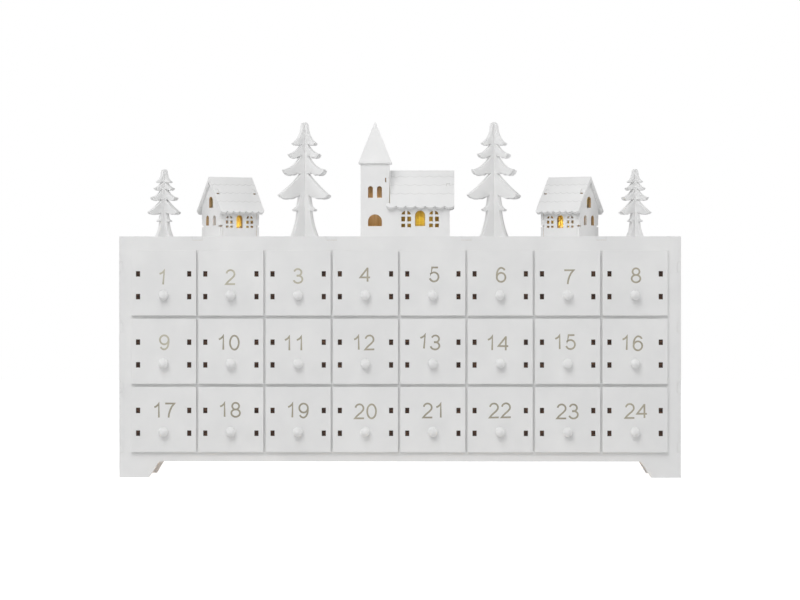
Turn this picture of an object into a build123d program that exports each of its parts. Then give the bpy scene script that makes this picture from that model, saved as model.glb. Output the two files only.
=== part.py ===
# Wooden advent calendar: a drawer cabinet with a lit village of trees, houses and a church on its top.
# Millimetres. X runs along the cabinet, Y from the drawers to the back, Z up. The floor is Z = 0.
import os
from math import cos, radians, sin, tan

from build123d import *

os.makedirs("parts", exist_ok=True)

# Plywood and fits
sheet = 3.0  # plywood of the cabinet, the drawers and the trees
thin_sheet = 2.5  # plywood of the little buildings
joint_gap = 0.1  # glue clearance round a tab in its slot
tab_recess = 0.2  # how far a tab end stays below the face it comes through

# Cabinet
cabinet_width = 450.0
cabinet_depth = 80.0
foot_height = 13.0
foot_floor_width = 24.0
foot_slant = 8.0  # how much wider a foot is at its top
side_foot_length = 18.0
edge_tab_length = 8.0  # tabs of the side panels through the front and back panels
edge_tab_count = 4
lowest_edge_tab = 24.4  # height of the lowest tab's centre
highest_edge_tab = 24.6  # from the highest tab's centre to the top of the cabinet
top_tab_length = 8.0  # tabs of the top panel through the front and back panels
shelf_tab_length = 20.0  # tabs of the level sheets through the side panels
compartment_depth = 53.0  # depth of the dividers and shelves behind the front panel

# Drawers
columns = 8
rows = 3
face_side_margin = 10.345  # from the ends of the cabinet to the outer faces, on average
face_shift = -0.5  # the rows of drawers sit a little left of the middle
face_base_margin = 20.645  # from the floor to the lowest faces
face_top_margin = 11.305  # from the highest faces to the top of the cabinet
column_gap = 1.73  # between neighbouring faces
row_gap = 2.5
face_chamfer = 0.2
face_side_lap = 4.075  # how far a face stands out beside its box
face_edge_lap = 5.075  # how far a face stands out above and below its box, on average
box_length = 50.0
box_drop = 1.82  # how far the box centre lies below the face centre
box_tab_height = 4.1
box_tab_pitch = 18.2
slide_gap = 0.3  # clearance below a drawer box
side_slide_gap = 0.5  # clearance at each side of a drawer box
above_slide_gap = 0.7  # clearance above a drawer box
wiring_deck_gap = 1.5  # clearance between the top drawers and the deck above them

# Drawer knobs
knob_diameter = 8.0
knob_flat = 1.0  # cut off the back of the ball, where it sits on the face
knob_pin_diameter = 3.0
knob_pin_clearance = 0.06
knob_drop = 9.7  # how far a knob lies below the face centre

# Battery case in the back
wall = 1.6
cell_diameter = 14.5
cell_length = 50.5
cell_gap = 0.6
cell_nub_length = 1.2
cell_nub_diameter = 5.5
contact_thickness = 0.5
contact_gap = 0.1
case_depth = 20.0  # from the outside of the back panel inward
switch_pocket = 13.0
flange_margin = 5.5
case_drop = 61.0  # from the top of the cabinet to the case centre
case_fit = 0.4  # clearance of the case in the back panel
cover_margin = 1.2
cover_lip_depth = 1.6
cover_lip_gap = 0.3
screw_head_diameter = 4.4
screw_head_height = 1.2
screw_shank_diameter = 2.2
screw_shank_length = 4.0
screw_clearance = 0.1
slider_length = 4.0
slider_height = 3.0
slider_reach = 1.3
slider_foot_margin = 1.2
slider_foot_thickness = 1.2
switch_travel = 3.0
switch_gap = 0.3

# Village
village_setback = 40.0  # from the front of the cabinet to the line of the trees and houses
large_tree_height = 93.0
small_tree_height = 55.0
large_tip_radius = 3.5
small_tip_radius = 2.6
tree_neck_radius = 2.9  # least half width of the trunk beside its slot
tree_fringe_belly = 0.74  # bulge of the lobes of a fringe, as a share of its depth for a lobe of full length
tree_trunk_flare = 0.35  # how far the trunk has widened at half its height
tree_lap_share = 0.485  # where the two sheets of a tree meet, as a share of its height
tree_tab_offset = 5.6
tree_tab_width = 4.0
tree_turn = 45.0
right_tree_turn = 41.0  # the large tree on the right stands turned a little more
large_tree_shares = (-0.3462, 0.3373)  # places along the top, as shares of half the cabinet width
small_tree_shares = (-0.8529, 0.8449)

house_shares = (-0.6138, 0.6098)
house_turn = 33.0
house_length = 36.6
house_width = 29.8
house_ridge = 48.6
house_roof_length = 40.4
house_roof_span = 40.0
house_scallops = 7
roof_pitch = 54.0
scallop_depth = 1.9
roof_tab_length = 3.6
roof_tab_share = 0.42  # place of the gable tabs down the slope
slot_play = 1.3  # open end of the slots for the tabs of house roofs and walls
corner_tab_height = 5.0
floor_tab_width = 7.0

house_window_width = 6.2
house_window_height = 9.7
house_window_sill = 7.4
house_window_offset = 9.4
house_door_width = 5.6
house_door_height = 10.4
house_door_sill = 7.1
gable_window_width = 4.4
gable_window_height = 8.0
gable_window_sill = 9.3
gable_window_offset = 5.6
attic_window_width = 6.4
attic_window_height = 8.9
attic_window_sill = 23.5
mullion = 1.8

tower_place = -32.0  # left side of the church tower
tower_width = 23.2
tower_height = 59.0
nave_length = 48.7
nave_depth = 35.0
nave_ridge = 54.0
nave_roof_span = 42.2
nave_overhang = 3.7
nave_eave_lap = 2.3  # of the front eave over the tower front
tower_roof_gap = 0.5
nave_scallops = 7
spire_base = 26.6
spire_height = 34.0
spire_tip = 0.8
spire_edge = 1.0
spire_plug_depth = 4.0
spire_plug_gap = 0.3
tower_window_width = 4.0
tower_window_height = 9.4
tower_window_sill = 31.4
tower_window_offset = 3.6
tower_arch_width = 11.2
tower_arch_height = 9.5
tower_arch_sill = 8.5
nave_window_width = 7.8
nave_window_height = 13.4
nave_window_sill = 7.6
nave_window_offset = 11.2
nave_door_width = 8.1
nave_door_height = 12.5
nave_door_sill = 8.6
nave_door_place = 16.0  # centre of the church door, from the cabinet centre
cross_tab_place = 45.8  # height of the tab that ties tower and nave
cross_tab_height = 3.4
cross_slot_play = 0.8

# Lights and their wires
lamp_diameter = 5.0
lamp_height = 8.0  # above the top panel
lamp_rim_diameter = 6.0
lamp_rim_height = 1.0
lamp_clearance = 0.1
wire_diameter = 1.4
wire_lane_pitch = 4.0
wire_bend = 3.0

# Places that follow from the sizes above
cover_thickness = wall
flange_thickness = wall
knob_reach = knob_diameter - knob_flat
front_y = (sheet + knob_reach - cabinet_depth - flange_thickness - cover_thickness) / 2
back_y = front_y + cabinet_depth
inner_front_y = front_y + sheet
inner_back_y = back_y - sheet
inner_depth = inner_back_y - inner_front_y
village_y = front_y + village_setback
half_width = cabinet_width / 2
inner_half_width = half_width - sheet
face_size = (cabinet_width - 2 * face_side_margin - (columns - 1) * column_gap) / columns
column_pitch = face_size + column_gap
row_pitch = face_size + row_gap
box_width = face_size - 2 * face_side_lap
box_height = face_size - 2 * face_edge_lap
lowest_face_height = face_base_margin + face_size / 2
cabinet_height = face_base_margin + rows * face_size + (rows - 1) * row_gap + face_top_margin
top_z = cabinet_height
edge_tab_pitch = (cabinet_height - lowest_edge_tab - highest_edge_tab) / (edge_tab_count - 1)
case_height_on_back = cabinet_height - case_drop
large_tree_places = [share * half_width for share in large_tree_shares]
small_tree_places = [share * half_width for share in small_tree_shares]
house_places = [share * half_width for share in house_shares]
face_xs = [face_shift + (column - (columns - 1) / 2) * column_pitch for column in range(columns)]
face_zs = [lowest_face_height + row * row_pitch for row in range(rows)]
box_zs = [z - box_drop for z in face_zs]
floor_zs = [z - box_height / 2 - slide_gap for z in box_zs]
divider_xs = [face_shift + (line - columns / 2) * column_pitch for line in range(1, columns)]
deck_z = box_zs[-1] + box_height / 2 + wiring_deck_gap
edge_tab_zs = [lowest_edge_tab + place * edge_tab_pitch for place in range(edge_tab_count)]
shelf_tab_y = inner_front_y + compartment_depth / 2
level_zs = [z - sheet for z in floor_zs] + [deck_z]
opening_width = box_width + 2 * side_slide_gap
opening_height = box_height + 2 * slide_gap + above_slide_gap
opening_zs = [z + (above_slide_gap - slide_gap) / 2 for z in box_zs]
slope = radians(roof_pitch)


def save(piece, name):
    piece.label = name
    export_step(piece, f"parts/{name}.step")


def save_group(pieces, name):
    save(Compound(pieces), name)


def upright(y):
    return Plane(origin=(0, y, 0), x_dir=(1, 0, 0), z_dir=(0, -1, 0))


def arch(width, height):
    with BuildSketch() as opening:
        with Locations((0, (height - width / 2) / 2)):
            Rectangle(width, height - width / 2)
        with Locations((0, height - width / 2)):
            Circle(width / 2)
        with Locations((0, height / 2)):
            Rectangle(width, height, mode=Mode.INTERSECT)
    return opening.sketch


def paned_arch(width, height):
    lower_bar = (height - width / 2) / 2 - mullion / 2
    with BuildSketch() as opening:
        add(arch(width, height))
        with Locations((0, height / 2)):
            Rectangle(mullion, height, mode=Mode.SUBTRACT)
        with Locations((0, lower_bar), (0, height - width / 2)):
            Rectangle(width, mullion, mode=Mode.SUBTRACT)
    return opening.sketch


# Front and back panels: one outline, with feet and notches for the tabs of the other panels
def end_panel_outline():
    with Locations((0, cabinet_height / 2)):
        Rectangle(cabinet_width, cabinet_height)
    foot_edge = half_width - foot_floor_width
    Polygon(
        (-foot_edge, 0),
        (-foot_edge + foot_slant, foot_height),
        (foot_edge - foot_slant, foot_height),
        (foot_edge, 0),
        align=None,
        mode=Mode.SUBTRACT,
    )
    for z in edge_tab_zs:
        with Locations((-half_width, z), (half_width, z)):
            Rectangle(2 * (sheet + joint_gap), edge_tab_length + 2 * joint_gap, mode=Mode.SUBTRACT)
    with Locations(*[(x, cabinet_height) for x in divider_xs[::2]]):
        Rectangle(top_tab_length + 2 * joint_gap, 2 * (sheet + joint_gap), mode=Mode.SUBTRACT)


with BuildPart() as front_panel:
    with BuildSketch(upright(front_y)):
        end_panel_outline()
        with Locations(*[(x, z) for x in face_xs for z in opening_zs]):
            Rectangle(opening_width, opening_height, mode=Mode.SUBTRACT)
    extrude(amount=-sheet)
save(front_panel.part, "front_panel")

# Battery case sizes, needed by the back panel
bay_length = cell_length + 2 * (contact_thickness + cell_gap)
bay_height = 2 * cell_diameter + 3 * cell_gap
case_length = bay_length + switch_pocket + 3 * wall
case_height = bay_height + 2 * wall
case_left = -case_length / 2
bay_x = case_left + wall + bay_length / 2
pocket_x = case_left + 2 * wall + bay_length + switch_pocket / 2
flange_length = case_length + 2 * flange_margin
flange_height = case_height + 2 * flange_margin
screw_xs = (flange_length - flange_margin) / 2
screw_zs = (flange_height - flange_margin) / 2
screw_places = [
    (x, case_height_on_back + z) for x in (-screw_xs, screw_xs) for z in (-screw_zs, screw_zs)
]

with BuildPart() as back_panel:
    with BuildSketch(upright(inner_back_y)):
        end_panel_outline()
        with Locations((0, case_height_on_back)):
            Rectangle(case_length + 2 * case_fit, case_height + 2 * case_fit, mode=Mode.SUBTRACT)
        with Locations(*screw_places):
            Circle(screw_shank_diameter / 2 + screw_clearance, mode=Mode.SUBTRACT)
    extrude(amount=-sheet)
save(back_panel.part, "back_panel")


# Side panels
def side_panel(x):
    foot_edge = inner_depth / 2 + sheet - side_foot_length
    middle_y = (front_y + back_y) / 2
    with BuildPart() as panel:
        with BuildSketch(Plane.YZ.offset(x)):
            with Locations((middle_y, cabinet_height / 2)):
                Rectangle(inner_depth, cabinet_height)
            with Locations(*[(y, z) for y in (inner_front_y, inner_back_y) for z in edge_tab_zs]):
                Rectangle(2 * (sheet - tab_recess), edge_tab_length)
            Polygon(
                (middle_y - foot_edge, 0),
                (middle_y - foot_edge + foot_slant, foot_height),
                (middle_y + foot_edge - foot_slant, foot_height),
                (middle_y + foot_edge, 0),
                align=None,
                mode=Mode.SUBTRACT,
            )
            with Locations(*[(shelf_tab_y, z + sheet / 2) for z in level_zs]):
                Rectangle(shelf_tab_length + 2 * joint_gap, sheet + 2 * joint_gap, mode=Mode.SUBTRACT)
            with Locations((shelf_tab_y, cabinet_height)):
                Rectangle(
                    shelf_tab_length + 2 * joint_gap, 2 * (sheet + joint_gap), mode=Mode.SUBTRACT
                )
        extrude(amount=sheet)
    return panel.part


save(side_panel(-half_width), "left_side_panel")
save(side_panel(inner_half_width), "right_side_panel")


# Level sheets: bottom, shelves and wiring deck, tabbed into the side panels
def level_outline(depth):
    with Locations((0, inner_front_y + depth / 2)):
        Rectangle(2 * (inner_half_width - joint_gap), depth)
    with Locations((0, shelf_tab_y)):
        Rectangle(2 * (half_width - tab_recess), shelf_tab_length)


with BuildPart() as bottom_panel:
    with BuildSketch(Plane.XY.offset(level_zs[0])):
        level_outline(inner_depth - joint_gap)
    extrude(amount=sheet)
save(bottom_panel.part, "bottom_panel")

for name, bottom_z in zip(("lower_shelf", "upper_shelf"), level_zs[1:rows]):
    with BuildPart() as shelf:
        with BuildSketch(Plane.XY.offset(bottom_z)):
            level_outline(compartment_depth)
            with Locations(*[(x, inner_front_y) for x in divider_xs]):
                Rectangle(sheet + 2 * joint_gap, compartment_depth + 2 * joint_gap, mode=Mode.SUBTRACT)
        extrude(amount=sheet)
    save(shelf.part, name)

with BuildPart() as wiring_deck:
    with BuildSketch(Plane.XY.offset(deck_z)):
        level_outline(compartment_depth)
    extrude(amount=sheet)
save(wiring_deck.part, "wiring_deck")

# Dividers, halved over the shelves
dividers = []
for x in divider_xs:
    with BuildPart() as divider:
        with BuildSketch(Plane.YZ.offset(x - sheet / 2)):
            with Locations((inner_front_y + compartment_depth / 2, (floor_zs[0] + deck_z) / 2)):
                Rectangle(compartment_depth, deck_z - floor_zs[0])
            with Locations(*[(inner_front_y + compartment_depth, z - sheet / 2) for z in floor_zs[1:]]):
                Rectangle(compartment_depth, sheet + 2 * joint_gap, mode=Mode.SUBTRACT)
        extrude(amount=sheet)
    dividers.append(divider.part)
save_group(dividers, "dividers")

# Drawers: face, two sides with tabs through face and back, back, bottom and knob
box_side_x = (box_width - sheet) / 2
box_tab_zs = (-box_drop - box_tab_pitch / 2, -box_drop + box_tab_pitch / 2)
box_bottom = -box_drop - box_height / 2
box_inner_length = box_length - sheet

with BuildPart() as drawer_face:
    with BuildSketch(upright(0)):
        Rectangle(face_size, face_size)
    extrude(amount=sheet)
    chamfer(drawer_face.faces().sort_by(Axis.Y)[0].edges(), face_chamfer)
    with BuildSketch(upright(0)):
        with Locations(*[(x, z) for x in (-box_side_x, box_side_x) for z in box_tab_zs]):
            Rectangle(sheet + 2 * joint_gap, box_tab_height + 2 * joint_gap)
        with Locations((0, -knob_drop)):
            Circle(knob_pin_diameter / 2 + knob_pin_clearance)
    extrude(amount=sheet, mode=Mode.SUBTRACT)

with BuildPart() as drawer_side:
    with BuildSketch(Plane.YZ.offset(-sheet / 2)):
        with Locations((box_inner_length / 2, -box_drop)):
            Rectangle(box_inner_length, box_height)
        with Locations(*[(y, z) for y in (0, box_inner_length) for z in box_tab_zs]):
            Rectangle(2 * (sheet - tab_recess), box_tab_height)
    extrude(amount=sheet)

with BuildPart() as drawer_back:
    with BuildSketch(upright(box_inner_length)):
        with Locations((0, -box_drop)):
            Rectangle(box_width, box_height)
        with Locations(*[(x, z) for x in (-box_width / 2, box_width / 2) for z in box_tab_zs]):
            Rectangle(2 * (sheet + joint_gap), box_tab_height + 2 * joint_gap, mode=Mode.SUBTRACT)
    extrude(amount=-sheet)

with BuildPart() as drawer_bottom:
    with BuildSketch(Plane.XY.offset(box_bottom)):
        with Locations((0, box_inner_length / 2)):
            Rectangle(box_width - 2 * (sheet + joint_gap), box_inner_length)
    extrude(amount=sheet)

knob_radius = knob_diameter / 2
seat_radius = (knob_radius**2 - (knob_radius - knob_flat) ** 2) ** 0.5
knob_base = -sheet
knob_middle = knob_base - knob_reach + knob_radius
with BuildPart() as drawer_knob:
    with BuildSketch(Plane.XY):
        with BuildLine():
            Polyline(
                (0, -tab_recess),
                (knob_pin_diameter / 2, -tab_recess),
                (knob_pin_diameter / 2, knob_base),
                (seat_radius, knob_base),
            )
            ThreePointArc(
                (seat_radius, knob_base), (knob_radius, knob_middle), (0, knob_base - knob_reach)
            )
            Line((0, knob_base - knob_reach), (0, -tab_recess))
        make_face()
    revolve(axis=Axis.Y)

for row in range(rows):
    for column in range(columns):
        number = (rows - 1 - row) * columns + column + 1
        place = Location((face_xs[column], front_y, face_zs[row]))
        save_group(
            [
                drawer_face.part.moved(place),
                drawer_side.part.moved(place * Location((-box_side_x, 0, 0))),
                drawer_side.part.moved(place * Location((box_side_x, 0, 0))),
                drawer_back.part.moved(place),
                drawer_bottom.part.moved(place),
                drawer_knob.part.moved(place * Location((0, 0, -knob_drop))),
            ],
            f"drawer_{number:02d}",
        )

# Trees: two sheets each, halved over one another, with tabs in the top panel
# Each tier, in shares of the tree's height: radius and height of the branch tip, of the crotch under it and
# of the end of the trunk below that, then sag of the upper edge and depth of the fringe
tree_tiers = (
    (0.144, 0.816, 0.042, 0.812, 0.045, 0.802, 0.025, 0.019),
    (0.188, 0.721, 0.045, 0.718, 0.048, 0.707, 0.015, 0.037),
    (0.256, 0.584, 0.050, 0.560, 0.052, 0.549, 0.028, 0.052),
    (0.307, 0.363, 0.063, 0.370, 0.083, 0.274, 0.009, 0.035),
    (0.137, 0.240, 0.082, 0.232, 0.083, 0.215, 0.004, 0.016),
)
tree_base_share = 0.158
fringe_steps = ((0.08, 0.55), (0.42, 0.75), (0.74, 0.45))  # along and below a branch, as shares


def tree_sheet(height, tip_radius, slot_from_top):
    base = height * tree_base_share
    lap = height * tree_lap_share
    with BuildPart() as sheet_part:
        with BuildSketch(upright(-sheet / 2)):
            with BuildLine():
                start = (tip_radius, height - tip_radius)
                ThreePointArc((-start[0], start[1]), (0, height), start)
                for side in (1, -1):
                    last = start
                    for tip_r, tip_h, crotch_r, crotch_h, trunk_r, trunk_h, sag, fringe in tree_tiers:
                        tip = (tip_r * height, tip_h * height)
                        crotch = (max(crotch_r * height, tree_neck_radius), crotch_h * height)
                        trunk = (max(trunk_r * height, tree_neck_radius), trunk_h * height)
                        reach = tip[0] - crotch[0]
                        depth = fringe * height
                        run = ((tip[0] - last[0]) ** 2 + (tip[1] - last[1]) ** 2) ** 0.5
                        middle = (
                            (last[0] + tip[0]) / 2 - sag * height * (last[1] - tip[1]) / run,
                            (last[1] + tip[1]) / 2 - sag * height * (tip[0] - last[0]) / run,
                        )
                        points = [tip]
                        points += [(tip[0] - a * reach, tip[1] - b * depth) for a, b in fringe_steps]
                        points += [crotch]
                        ThreePointArc(
                            (side * last[0], last[1]),
                            (side * middle[0], middle[1]),
                            (side * tip[0], tip[1]),
                        )
                        for one, two in zip(points, points[1:]):
                            belly = tree_fringe_belly * depth * (one[0] - two[0]) / reach
                            ThreePointArc(
                                (side * one[0], one[1]),
                                (side * (one[0] + two[0]) / 2, (one[1] + two[1]) / 2 - belly),
                                (side * two[0], two[1]),
                            )
                        Line((side * crotch[0], crotch[1]), (side * trunk[0], trunk[1]))
                        last = trunk
                    ThreePointArc(
                        (side * last[0], last[1]),
                        (side * (last[0] + tree_trunk_flare * (base - last[0])), last[1] / 2),
                        (side * base, 0),
                    )
                Line((-base, 0), (base, 0))
            make_face()
            with Locations((-tree_tab_offset, 0), (tree_tab_offset, 0)):
                Rectangle(tree_tab_width, 2 * (sheet - tab_recess))
            if slot_from_top:
                with Locations((0, lap + height / 2)):
                    Rectangle(sheet + 2 * joint_gap, height, mode=Mode.SUBTRACT)
            else:
                with Locations((0, lap + joint_gap - height / 2)):
                    Rectangle(sheet + 2 * joint_gap, height, mode=Mode.SUBTRACT)
        extrude(amount=-sheet)
    return sheet_part.part


tree_places = (
    ("left_small_tree", small_tree_places[0], small_tree_height, small_tip_radius, tree_turn),
    ("left_large_tree", large_tree_places[0], large_tree_height, large_tip_radius, tree_turn),
    ("right_large_tree", large_tree_places[1], large_tree_height, large_tip_radius, right_tree_turn),
    ("right_small_tree", small_tree_places[1], small_tree_height, small_tip_radius, tree_turn),
)
for name, x, height, tip_radius, tree_angle in tree_places:
    for turn, ending in ((tree_angle, "outer_sheet"), (tree_angle - 90, "inner_sheet")):
        place = Location((x, village_y, top_z), (0, 0, turn))
        save(tree_sheet(height, tip_radius, ending == "inner_sheet").moved(place), f"{name}_{ending}")


# Roofs: two sheets mitred at the ridge, scalloped at the eaves, slotted for the gable tabs
def under_roof(ridge, y):
    return ridge - (thin_sheet + joint_gap) / cos(slope) - abs(y) * tan(slope)


def roof_sheet(side, ridge, span, wall_y, left, eave_left, right, scallops, tab_xs, play):
    run = span / 2 / cos(slope)
    wall_run = (wall_y + thin_sheet * sin(slope)) / cos(slope)
    turn = -side
    pitch = (right - eave_left) / scallops
    plane = Plane(origin=(0, 0, ridge), x_dir=(turn, 0, 0), z_dir=(0, side * sin(slope), cos(slope)))
    with BuildPart() as roof:
        with BuildSketch(plane):
            with Locations((turn * (left + right) / 2, (thin_sheet - wall_run) / 2)):
                Rectangle(right - left, thin_sheet + wall_run)
            with BuildLine():
                Polyline(
                    (turn * eave_left, -run),
                    (turn * eave_left, -wall_run),
                    (turn * right, -wall_run),
                    (turn * right, -run),
                )
                for place in range(scallops):
                    from_x = eave_left + place * pitch
                    ThreePointArc(
                        (turn * from_x, -run),
                        (turn * (from_x + pitch / 2), -run - scallop_depth),
                        (turn * (from_x + pitch), -run),
                    )
            make_face()
            with Locations(*[(turn * x, -roof_tab_share * run - play / 2) for x in tab_xs]):
                Rectangle(
                    thin_sheet + 2 * joint_gap,
                    roof_tab_length + 2 * joint_gap + play,
                    mode=Mode.SUBTRACT,
                )
        extrude(amount=-thin_sheet)
        split(bisect_by=Plane.XZ.offset(-side * joint_gap / 2), keep=Keep.TOP if side < 0 else Keep.BOTTOM)
    return roof.part


def gable_outline(width, ridge, span):
    Polygon(
        (-width / 2, 0),
        (width / 2, 0),
        (width / 2, under_roof(ridge, width / 2)),
        (0, under_roof(ridge, 0)),
        (-width / 2, under_roof(ridge, width / 2)),
        align=None,
    )
    down = roof_tab_share * span / 2 / cos(slope)
    depth = thin_sheet + tab_recess
    for side in (-1, 1):
        tab_y = side * (down * cos(slope) - depth * sin(slope))
        tab_z = ridge - down * sin(slope) - depth * cos(slope)
        with Locations(Location((tab_y, tab_z, 0), (0, 0, -side * roof_pitch))):
            Rectangle(roof_tab_length, 2 * thin_sheet)


# Houses, made at the origin and then set on the top panel
house_wall_height = under_roof(house_ridge, house_width / 2)
house_window = paned_arch(house_window_width, house_window_height)
house_door = arch(house_door_width, house_door_height)
gable_window = arch(gable_window_width, gable_window_height)
attic_window = arch(attic_window_width, attic_window_height)
corner_tab_z = house_wall_height / 2


# Only the two walls that face the front have windows: a long wall, and the gable at shown_end, -1 or 1
def house_shell(shown_end):
    walls = []
    for facing, wall_y in ((-1, -house_width / 2), (1, house_width / 2 - thin_sheet)):
        with BuildPart() as long_wall:
            with BuildSketch(upright(wall_y)):
                with Locations((0, house_wall_height / 2)):
                    Rectangle(house_length - 2 * (thin_sheet + joint_gap), house_wall_height)
                with Locations((0, corner_tab_z)):
                    Rectangle(house_length - 2 * tab_recess, corner_tab_height)
                Rectangle(floor_tab_width, 2 * (sheet - tab_recess))
                if facing < 0:
                    with Locations(*[(end * house_window_offset, house_window_sill) for end in (-1, 1)]):
                        add(house_window, mode=Mode.SUBTRACT)
                    with Locations((0, house_door_sill)):
                        add(house_door, mode=Mode.SUBTRACT)
            extrude(amount=-thin_sheet)
        walls.append(long_wall.part)
    for end, wall_x in ((-1, -house_length / 2), (1, house_length / 2 - thin_sheet)):
        with BuildPart() as gable_wall:
            with BuildSketch(Plane.YZ.offset(wall_x)):
                gable_outline(house_width, house_ridge, house_roof_span)
                slot_z = corner_tab_z - slot_play / 2
                with Locations((-house_width / 2, slot_z), (house_width / 2, slot_z)):
                    Rectangle(
                        2 * (thin_sheet + joint_gap),
                        corner_tab_height + 2 * joint_gap + slot_play,
                        mode=Mode.SUBTRACT,
                    )
                if end == shown_end:
                    with Locations(*[(hand * gable_window_offset, gable_window_sill) for hand in (-1, 1)]):
                        add(gable_window, mode=Mode.SUBTRACT)
                    with Locations((0, attic_window_sill)):
                        add(attic_window, mode=Mode.SUBTRACT)
            extrude(amount=thin_sheet)
        walls.append(gable_wall.part)
    return walls


house_tab_xs = (-(house_length - thin_sheet) / 2, (house_length - thin_sheet) / 2)
house_roof = [
    roof_sheet(
        side,
        house_ridge,
        house_roof_span,
        house_width / 2,
        -house_roof_length / 2,
        -house_roof_length / 2,
        house_roof_length / 2,
        house_scallops,
        house_tab_xs,
        slot_play,
    )
    for side in (-1, 1)
]
house_locations = (
    ("left_house", -1, Location((house_places[0], village_y, top_z), (0, 0, house_turn))),
    ("right_house", 1, Location((house_places[1], village_y, top_z), (0, 0, -house_turn))),
)
for name, shown_end, place in house_locations:
    save_group([piece.moved(place) for piece in house_shell(shown_end)], f"{name}_walls")
    save_group([piece.moved(place) for piece in house_roof], f"{name}_roof")

# Church: one front sheet for tower and nave, a cross wall between them, tower sides, nave back and gable
church_front_y = -nave_depth / 2
tower_right = tower_place + tower_width
nave_right = tower_right + nave_length
nave_wall_height = under_roof(nave_ridge, nave_depth / 2)
nave_floor_tab_x = (tower_right + nave_right) / 2
nave_window = paned_arch(nave_window_width, nave_window_height)
nave_window_places = [
    (nave_door_place + side * nave_window_offset, nave_window_sill) for side in (-1, 1)
]
nave_door = arch(nave_door_width, nave_door_height)
tower_window = arch(tower_window_width, tower_window_height)
tower_arch = arch(tower_arch_width, tower_arch_height)
tower_x = tower_place + tower_width / 2
cross_x = tower_right - thin_sheet

with BuildPart() as church_front:
    with BuildSketch(upright(church_front_y)):
        with Locations((tower_x, tower_height / 2)):
            Rectangle(tower_width, tower_height)
        with Locations(((tower_place + nave_right) / 2, nave_wall_height / 2)):
            Rectangle(nave_right - tower_place, nave_wall_height)
        with Locations((nave_floor_tab_x, 0)):
            Rectangle(floor_tab_width, 2 * (sheet - tab_recess))
        with Locations(*[(tower_x + side * tower_window_offset, tower_window_sill) for side in (-1, 1)]):
            add(tower_window, mode=Mode.SUBTRACT)
        with Locations((tower_x, tower_arch_sill)):
            add(tower_arch, mode=Mode.SUBTRACT)
        with Locations(*nave_window_places):
            add(nave_window, mode=Mode.SUBTRACT)
        with Locations((nave_door_place, nave_door_sill)):
            add(nave_door, mode=Mode.SUBTRACT)
        with Locations((cross_x + (thin_sheet - cross_slot_play) / 2, cross_tab_place)):
            Rectangle(
                thin_sheet + 2 * joint_gap + cross_slot_play,
                cross_tab_height + 2 * joint_gap,
                mode=Mode.SUBTRACT,
            )
    extrude(amount=-thin_sheet)

inner_church_y = church_front_y + thin_sheet
tower_back_y = church_front_y + tower_width
with BuildPart() as cross_wall:
    with BuildSketch(Plane.YZ.offset(cross_x)):
        inner_nave_depth = nave_depth - 2 * thin_sheet
        Polygon(
            (-inner_nave_depth / 2, 0),
            (inner_nave_depth / 2, 0),
            (inner_nave_depth / 2, under_roof(nave_ridge, inner_nave_depth / 2)),
            (0, under_roof(nave_ridge, 0)),
            (-inner_nave_depth / 2, under_roof(nave_ridge, inner_nave_depth / 2)),
            align=None,
        )
        with Locations(((inner_church_y + tower_back_y) / 2, tower_height / 2)):
            Rectangle(tower_back_y - inner_church_y, tower_height)
        with Locations((inner_church_y, cross_tab_place)):
            Rectangle(2 * (thin_sheet - tab_recess), cross_tab_height)
    extrude(amount=thin_sheet)

with BuildPart() as tower_left_wall:
    with BuildSketch(Plane.YZ.offset(tower_place)):
        with Locations(((inner_church_y + tower_back_y) / 2, tower_height / 2)):
            Rectangle(tower_back_y - inner_church_y, tower_height)
    extrude(amount=thin_sheet)

with BuildPart() as tower_back_wall:
    with BuildSketch(upright(tower_back_y - thin_sheet)):
        with Locations((tower_x, tower_height / 2)):
            Rectangle(tower_width - 2 * (thin_sheet + joint_gap), tower_height)
    extrude(amount=-thin_sheet)

with BuildPart() as nave_back_wall:
    with BuildSketch(upright(nave_depth / 2 - thin_sheet)):
        with Locations(((cross_x + nave_right) / 2, nave_wall_height / 2)):
            Rectangle(nave_right - cross_x, nave_wall_height)
        with Locations((nave_floor_tab_x, 0)):
            Rectangle(floor_tab_width, 2 * (sheet - tab_recess))
    extrude(amount=-thin_sheet)

with BuildPart() as nave_gable:
    with BuildSketch(Plane.YZ.offset(nave_right - thin_sheet)):
        gable_outline(nave_depth - 2 * thin_sheet, nave_ridge, nave_roof_span)
        with Locations((0, attic_window_sill)):
            add(attic_window, mode=Mode.SUBTRACT)
    extrude(amount=thin_sheet)

nave_roof = [
    roof_sheet(
        side,
        nave_ridge,
        nave_roof_span,
        nave_depth / 2 + joint_gap,
        tower_right + tower_roof_gap,
        tower_right - nave_eave_lap if side < 0 else tower_right + tower_roof_gap,
        nave_right + nave_overhang,
        nave_scallops,
        (nave_right - thin_sheet / 2,),
        0,
    )
    for side in (-1, 1)
]

with BuildPart() as spire:
    with BuildSketch(Plane.XY.offset(tower_height + spire_edge)):
        Rectangle(spire_base, spire_base)
    with BuildSketch(Plane.XY.offset(tower_height + spire_height)):
        Rectangle(spire_tip, spire_tip)
    loft()
    with BuildSketch(Plane.XY.offset(tower_height)):
        Rectangle(spire_base, spire_base)
    extrude(amount=spire_edge)
    plug_size = tower_width - 2 * (thin_sheet + spire_plug_gap)
    with BuildSketch(Plane.XY.offset(tower_height)):
        Rectangle(plug_size, plug_size)
    extrude(amount=-spire_plug_depth)

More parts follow.
